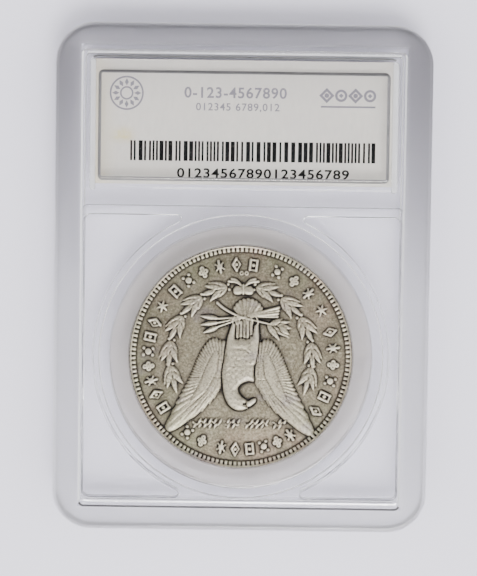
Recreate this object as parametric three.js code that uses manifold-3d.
// A graded coin slab: a dollar-sized silver coin and its printed label, sealed between two
// clear plastic shells that are welded together at mid-thickness. Millimetres, +Z up.
// The slab lies with its rear face up. The origin is the middle of its underside.
import * as THREE from "three";
import { mergeVertices } from "three/addons/utils/BufferGeometryUtils.js";
import Module from "manifold-3d";

const wasm = await Module();
wasm.setup();

// The slab's outside.
const SLAB_WIDTH = 63.5;
const SLAB_HEIGHT = 85.7;
const SLAB_THICKNESS = 8;
const SLAB_CORNER = 6.7;
const EDGE_ROUND = 0.8;
const MID = SLAB_THICKNESS / 2;

// The window recessed into both faces, inside a raised rim.
const WINDOW_WIDTH = 54.8;
const WINDOW_HEIGHT = 77.2;
const WINDOW_CORNER = 0.8;
const WINDOW_RECESS = 0.6;
const PANE = 1.5;
const CAVITY_DEPTH = MID - WINDOW_RECESS - PANE;

// The label's seat and its bevelled window, from their lower to their upper edge.
const SEAT = { halfWidth: 26.2, bottom: 15.3, top: 37.3, corner: 1.4, depth: 0.2 };
const FRAME = { halfWidth: 25.1, bottom: 15.9, top: 35.6, corner: 0.9, slope: 0.6 };
const LABEL = { halfWidth: 25.6, bottom: 15.8, top: 36.9, corner: 0.5, thickness: 0.3 };

// The coin compartment, with its locating wall and its two pads.
const COIN_Y = -13.45;
const ROOM = { halfWidth: 27.2, bottom: -38.5, top: 12.2, corner: 0.8 };
const WALL_INNER_RADIUS = 22.5;
const WALL_OUTER_RADIUS = 24.2;
const PAD = { arc: 25.3, halfWidth: 26.8, halfHeight: 24.05, tip: 0.6, corner: 1.1 };
const PAD_SHY = 0.15;

// The weld tongue on the rear shell and its groove in the front shell.
const TONGUE_INSET = 2.2;
const TONGUE_WIDTH = 0.5;
const TONGUE_HEIGHT = 0.35;
const WELD_GAP = 0.3;

// The soft ring that grips the coin by its edge.
const RING = { outer: 22.3, grip: 19.25, lip: 18.75, halfHeight: 1.85, chamfer: 0.35 };
const RING_GROOVE_HALF = 1.35;
const RING_LIP_HALF = 1.6;
const RING_SHOULDER = 20.3;

// The coin.
const COIN_RADIUS = 19.05;
const COIN_HALF = 1.2;
const REED_COUNT = 120;
const REED_DEPTH = 0.15;
const FIELD_RADIUS = 17.7;
const FIELD_DEPTH = 0.3;
const RELIEF_HEIGHT = 0.2;
const RELIEF_ROOT = 0.1;
const STAR_POINTS = 6;

// A closed geometry as a manifold solid: only its positions count.
function solid(geometry) {
  const bare = geometry.clone();
  bare.deleteAttribute("normal");
  bare.deleteAttribute("uv");
  const merged = mergeVertices(bare, 1e-4);
  return new wasm.Manifold(
    new wasm.Mesh({
      numProp: 3,
      vertProperties: new Float32Array(merged.attributes.position.array),
      triVerts: new Uint32Array(merged.index.array),
    }),
  );
}

// A manifold solid back as a three.js geometry.
function geometryOf(part) {
  const mesh = part.getMesh();
  const geometry = new THREE.BufferGeometry();
  geometry.setAttribute("position", new THREE.BufferAttribute(mesh.vertProperties, 3));
  geometry.setIndex(new THREE.BufferAttribute(mesh.triVerts, 1));
  geometry.computeVertexNormals();
  return geometry;
}

// A rectangle with round corners, between two heights on the sheet.
function roundedRect(halfWidth, bottom, top, corner) {
  const shape = new THREE.Shape();
  const right = halfWidth - corner;
  const low = bottom + corner;
  const high = top - corner;
  shape.absarc(right, low, corner, -Math.PI / 2, 0, false);
  shape.absarc(right, high, corner, 0, Math.PI / 2, false);
  shape.absarc(-right, high, corner, Math.PI / 2, Math.PI, false);
  shape.absarc(-right, low, corner, Math.PI, Math.PI * 1.5, false);
  shape.closePath();
  return shape;
}

function centredRect(width, height, corner) {
  return roundedRect(width / 2, -height / 2, height / 2, corner);
}

// A shape raised between two levels, with its edges rounded by bevel where that is given.
function raise(shape, low, high, bevel = 0, curveSegments = 4) {
  const geometry = new THREE.ExtrudeGeometry(shape, {
    depth: high - low - 2 * bevel,
    bevelEnabled: bevel > 0,
    bevelThickness: bevel,
    bevelSize: bevel,
    bevelOffset: -bevel,
    bevelSegments: 2,
    curveSegments,
  });
  geometry.translate(0, 0, low + bevel);
  return geometry;
}

// The same, with the levels measured outwards from mid-thickness. side is 1 for the rear half
// of the slab, which is the upper one, and -1 for the front half.
function layer(side, shape, near, far, bevel = 0, curveSegments = 4) {
  const levels = [MID + side * near, MID + side * far];
  return raise(shape, Math.min(...levels), Math.max(...levels), bevel, curveSegments);
}

// One pad: it fills the compartment's side between the wall and the round of the coin ring.
function padShape() {
  const reach = PAD.arc + PAD.tip;
  const rise = PAD.halfHeight - PAD.tip;
  const tipX = Math.sqrt(reach * reach - rise * rise);
  const tangent = Math.atan2(rise, tipX);
  const right = PAD.halfWidth - PAD.corner;
  const high = PAD.halfHeight - PAD.corner;
  const shape = new THREE.Shape();
  shape.absarc(tipX, rise, PAD.tip, Math.PI / 2, Math.PI + tangent, false);
  shape.absarc(0, 0, PAD.arc, tangent, -tangent, true);
  shape.absarc(tipX, -rise, PAD.tip, Math.PI - tangent, Math.PI * 1.5, false);
  shape.absarc(right, -high, PAD.corner, -Math.PI / 2, 0, false);
  shape.absarc(right, high, PAD.corner, 0, Math.PI / 2, false);
  shape.closePath();
  return shape;
}

function ringShape(inner, outer) {
  const shape = new THREE.Shape();
  shape.absarc(0, 0, outer, 0, Math.PI * 2, false);
  const hole = new THREE.Path();
  hole.absarc(0, 0, inner, 0, Math.PI * 2, true);
  shape.holes.push(hole);
  return shape;
}

// The band of the weld, widened by grow on each side.
function weldShape(grow) {
  const outset = TONGUE_INSET - TONGUE_WIDTH / 2 - grow;
  const inset = TONGUE_INSET + TONGUE_WIDTH / 2 + grow;
  const band = (inwards) =>
    centredRect(SLAB_WIDTH - 2 * inwards, SLAB_HEIGHT - 2 * inwards, SLAB_CORNER - inwards);
  const shape = band(outset);
  shape.holes.push(band(inset));
  return shape;
}

// What the coin compartment takes out of one shell: the room, less its wall and pads.
function compartmentCut(side) {
  const room = roundedRect(ROOM.halfWidth, ROOM.bottom, ROOM.top, ROOM.corner);
  const wall = layer(side, ringShape(WALL_INNER_RADIUS, WALL_OUTER_RADIUS), PAD_SHY, MID, 0, 32);
  const pad = layer(side, padShape(), PAD_SHY, MID, 0, 10);
  const otherPad = pad.clone();
  otherPad.rotateZ(Math.PI);
  let cut = solid(layer(side, room, -1, CAVITY_DEPTH));
  for (const island of [wall, pad, otherPad]) {
    island.translate(0, COIN_Y, 0);
    cut = cut.subtract(solid(island));
  }
  return cut;
}

// What the label takes out of one shell: its shallow seat, and a window with sloping sides.
function labelCut(side) {
  const seat = roundedRect(SEAT.halfWidth, SEAT.bottom, SEAT.top, SEAT.corner);
  const frame = roundedRect(FRAME.halfWidth, FRAME.bottom, FRAME.top, FRAME.corner);
  const shallow = solid(layer(side, seat, -1, SEAT.depth));
  return shallow.add(solid(layer(side, frame, -1, CAVITY_DEPTH, FRAME.slope)));
}

function shell(side) {
  const outline = centredRect(SLAB_WIDTH, SLAB_HEIGHT, SLAB_CORNER);
  const window = centredRect(WINDOW_WIDTH, WINDOW_HEIGHT, WINDOW_CORNER);
  const half = centredRect(SLAB_WIDTH + 2, SLAB_HEIGHT + 2, SLAB_CORNER);
  return solid(raise(outline, 0, SLAB_THICKNESS, EDGE_ROUND))
    .intersect(solid(layer(side, half, 0, MID + 1)))
    .subtract(solid(layer(side, window, MID - WINDOW_RECESS, MID + 1)))
    .subtract(compartmentCut(side))
    .subtract(labelCut(side));
}

function rearShell() {
  return shell(1).add(solid(layer(-1, weldShape(0), -0.2, TONGUE_HEIGHT)));
}

function frontShell() {
  return shell(-1).subtract(solid(layer(-1, weldShape(WELD_GAP), -1, TONGUE_HEIGHT + WELD_GAP)));
}

function labelCard() {
  const card = roundedRect(LABEL.halfWidth, LABEL.bottom, LABEL.top, LABEL.corner);
  return solid(layer(1, card, -LABEL.thickness / 2, LABEL.thickness / 2));
}

// The ring's section, turned about the coin's axis. Its groove holds the coin's edge.
function coinRing() {
  const { outer, grip, lip, halfHeight, chamfer } = RING;
  const section = [
    [outer - chamfer, -halfHeight],
    [outer, chamfer - halfHeight],
    [outer, halfHeight - chamfer],
    [outer - chamfer, halfHeight],
    [RING_SHOULDER, halfHeight],
    [lip, RING_LIP_HALF],
    [lip, RING_GROOVE_HALF],
    [grip, RING_GROOVE_HALF],
    [grip, -RING_GROOVE_HALF],
    [lip, -RING_GROOVE_HALF],
    [lip, -RING_LIP_HALF],
    [RING_SHOULDER, -halfHeight],
    [outer - chamfer, -halfHeight],
  ].map(([x, y]) => new THREE.Vector2(x, y));
  const ring = new THREE.LatheGeometry(section, 60);
  ring.rotateX(Math.PI / 2);
  return solid(ring);
}

// A round outline that runs in and out between two radii, as many times as count.
function pointedShape(inner, outer, count) {
  const corners = [];
  for (let corner = 0; corner < count * 2; corner += 1) {
    const reach = corner % 2 ? inner : outer;
    const angle = (Math.PI * corner) / count;
    corners.push(new THREE.Vector2(reach * Math.cos(angle), reach * Math.sin(angle)));
  }
  return new THREE.Shape(corners);
}

// A pointed leaf along +Y.
function leafShape(length, width) {
  const shape = new THREE.Shape();
  shape.moveTo(0, 0);
  shape.quadraticCurveTo(width, length / 2, 0, length);
  shape.quadraticCurveTo(-width, length / 2, 0, 0);
  return shape;
}

// The right half of the bird, head up: a spread wing that droops from a high shoulder.
function wingShape() {
  const shape = new THREE.Shape();
  shape.moveTo(1.2, 2.6);
  shape.quadraticCurveTo(3.2, 1.2, 4.4, -2.2);
  shape.quadraticCurveTo(7.2, 1.6, 11.9, 12.1);
  shape.quadraticCurveTo(5.2, 9.6, 1.2, 2.6);
  return shape;
}

// The bird's body, legs and tail, head up, down its middle line.
function bodyShape() {
  const shape = new THREE.Shape();
  shape.moveTo(-1.2, -9.4);
  shape.lineTo(1.2, -9.4);
  shape.lineTo(3.1, -3.6);
  shape.quadraticCurveTo(3.4, 2.4, 1.6, 4.6);
  shape.quadraticCurveTo(2.4, 7.6, 0.4, 8.6);
  shape.quadraticCurveTo(-1.6, 9, -1.8, 7.4);
  shape.quadraticCurveTo(-0.6, 6.8, -1, 4.8);
  shape.quadraticCurveTo(-3.6, 2.4, -3.1, -3.6);
  shape.lineTo(-1.2, -9.4);
  return shape;
}

// A plain classical head in profile, its back to a rolled knot of hair.
function headShape() {
  const shape = new THREE.Shape();
  shape.moveTo(-3.2, -10.4);
  shape.quadraticCurveTo(-2.6, -7.2, -4.4, -6.2);
  shape.quadraticCurveTo(-6.3, -6, -6, -3.6);
  shape.lineTo(-6.6, -1.4);
  shape.quadraticCurveTo(-6.6, 4.4, -2.6, 7.6);
  shape.quadraticCurveTo(3.4, 10.6, 7.2, 5.4);
  shape.quadraticCurveTo(9.6, 0.6, 7.4, -3.4);
  shape.quadraticCurveTo(6.2, -7.2, 6.4, -9.8);
  shape.quadraticCurveTo(1.6, -12.4, -3.2, -10.4);
  return shape;
}

// Everything raised on the rear face of the coin, as shapes placed on it head up.
function reverseRelief() {
  const relief = [];
  const place = (shape, angle, x, y, mirrored = false) => relief.push({ shape, angle, x, y, mirrored });
  place(wingShape(), 0, 0, 0);
  place(wingShape(), 0, 0, 0, true);
  place(bodyShape(), 0, 0, 0);
  for (const mirrored of [false, true]) {
    for (let leaf = 0; leaf < 7; leaf += 1) {
      const along = -1.25 + leaf * 0.26;
      const turn = along + 0.15;
      place(leafShape(3.1, 1.3), turn, 11.4 * Math.cos(along), 11.4 * Math.sin(along), mirrored);
    }
    place(pointedShape(0.45, 0.95, STAR_POINTS), 0, 13.6, -8.4, mirrored);
  }
  return relief;
}

// Everything raised on the front face of the coin.
function obverseRelief() {
  const relief = [{ shape: headShape(), angle: 0, x: 0, y: 0.6, mirrored: false }];
  for (let star = 0; star < 13; star += 1) {
    const angle = Math.PI * (0.58 + star * 0.153);
    relief.push({
      shape: pointedShape(0.45, 0.95, STAR_POINTS),
      angle,
      x: 15.3 * Math.cos(angle),
      y: 15.3 * Math.sin(angle),
      mirrored: false,
    });
  }
  return relief;
}

// The coin: reeded edge, raised rim, and low relief on both faces. The rear design stands
// upside down and the front design upright, as coins of this kind are struck.
function coin() {
  const field = COIN_HALF - FIELD_DEPTH;
  const blank = pointedShape(COIN_RADIUS - REED_DEPTH, COIN_RADIUS, REED_COUNT);
  const dish = new THREE.Shape().absarc(0, 0, FIELD_RADIUS, 0, Math.PI * 2, false);
  let body = solid(raise(blank, -COIN_HALF, COIN_HALF));
  body = body.subtract(solid(raise(dish, field, COIN_HALF + 1, 0, 36)));
  body = body.subtract(solid(raise(dish, -COIN_HALF - 1, -field, 0, 36)));
  const faces = [
    { relief: reverseRelief(), low: field - RELIEF_ROOT, high: field + RELIEF_HEIGHT },
    { relief: obverseRelief(), low: -field - RELIEF_HEIGHT, high: RELIEF_ROOT - field },
  ];
  for (const [index, face] of faces.entries()) {
    for (const item of face.relief) {
      const raised = raise(item.shape, face.low, face.high, 0, 5);
      raised.rotateZ(item.angle);
      raised.translate(item.x, item.y, 0);
      let placed = raised;
      if (item.mirrored !== (index === 1)) placed = mirrorX(raised);
      if (index === 0) placed.rotateZ(Math.PI);
      body = body.add(solid(placed));
    }
  }
  return body;
}

// Mirrors a geometry left to right and turns its faces to point out again.
function mirrorX(geometry) {
  const flat = geometry.index ? geometry.toNonIndexed() : geometry.clone();
  flat.scale(-1, 1, 1);
  const position = flat.attributes.position;
  for (let corner = 0; corner < position.count; corner += 3) {
    for (const axis of [0, 1, 2]) {
      const held = position.array[(corner + 1) * 3 + axis];
      position.array[(corner + 1) * 3 + axis] = position.array[(corner + 2) * 3 + axis];
      position.array[(corner + 2) * 3 + axis] = held;
    }
  }
  return flat;
}

const clearPlastic = { color: 0xdfe1e5, roughness: 0.08, metalness: 0, transparent: true, opacity: 0.35 };
const softPlastic = { color: 0xcfc9c4, roughness: 0.25, metalness: 0, transparent: true, opacity: 0.5 };
const paper = { color: 0xdcd8d0, roughness: 0.8, metalness: 0 };
const silver = { color: 0xb3ac9c, roughness: 0.38, metalness: 0.9 };

function node(name, part, look, x = 0, y = 0, z = 0) {
  const mesh = new THREE.Mesh(geometryOf(part), new THREE.MeshStandardMaterial(look));
  mesh.name = name;
  mesh.position.set(x, y, z);
  return mesh;
}

const slab = new THREE.Group();
slab.add(node("rear_shell", rearShell(), clearPlastic));
slab.add(node("front_shell", frontShell(), clearPlastic));
slab.add(node("label_card", labelCard(), paper));
slab.add(node("coin_ring", coinRing(), softPlastic, 0, COIN_Y, MID));
slab.add(node("coin", coin(), silver, 0, COIN_Y, MID));

export default slab;
